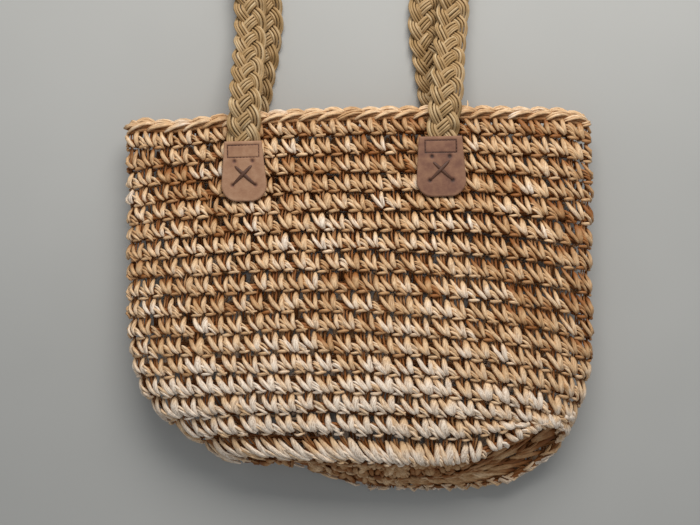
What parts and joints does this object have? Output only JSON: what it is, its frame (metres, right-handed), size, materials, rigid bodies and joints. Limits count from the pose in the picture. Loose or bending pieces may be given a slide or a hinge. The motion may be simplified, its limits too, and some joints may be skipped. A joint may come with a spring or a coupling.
{
  "type": "beach bag",
  "caption": "Crocheted natural-straw tote lying flat, with a chain-stitched mouth, leather tabs and plaited straw handles that fold over",
  "frame": {"origin": "on the flat of the back panel, where the bag rests, about the middle of the body", "axes": "+X along the mouth, +Y from the base towards the handles, +Z out of the front panel, up as the bag lies"},
  "size_m": [0.4207, 0.627, 0.0721],
  "materials": {
    "straw": "matte twisted straw with a slight dry sheen",
    "plait_straw": "matte fine straw cord",
    "tab_leather": "matte suede-like leather",
    "lace_leather": "matte leather lace",
    "thread": "waxed thread"
  },
  "bodies": {
    "bag": {"crochet_wall": "straw", "crochet_base": "straw", "rim_chain": "straw", "front_left_tab": "tab_leather", "front_left_lace": "lace_leather", "front_left_box_stitch": "thread", "front_left_plait_end": "plait_straw", "front_right_tab": "tab_leather", "front_right_lace": "lace_leather", "front_right_box_stitch": "thread", "front_right_plait_end": "plait_straw", "back_left_tab": "tab_leather", "back_left_lace": "lace_leather", "back_left_box_stitch": "thread", "back_left_plait_end": "plait_straw", "back_right_tab": "tab_leather", "back_right_lace": "lace_leather", "back_right_box_stitch": "thread", "back_right_plait_end": "plait_straw"},
    "front_strap": {"front_handle": "plait_straw"},
    "back_strap": {"back_handle": "plait_straw"}
  },
  "joints": [
    {"name": "front_handle_fold", "type": "hinge", "parent": "bag", "child": "front_strap", "pos_m": [-0.013, 0.1455, 0.05074], "axis": [1, 0, 0], "range_deg": [0, 160]},
    {"name": "back_handle_fold", "type": "hinge", "parent": "bag", "child": "back_strap", "pos_m": [-0.013, 0.1455, 0.00159], "axis": [1, 0, 0], "range_deg": [-160, 0]}
  ]
}
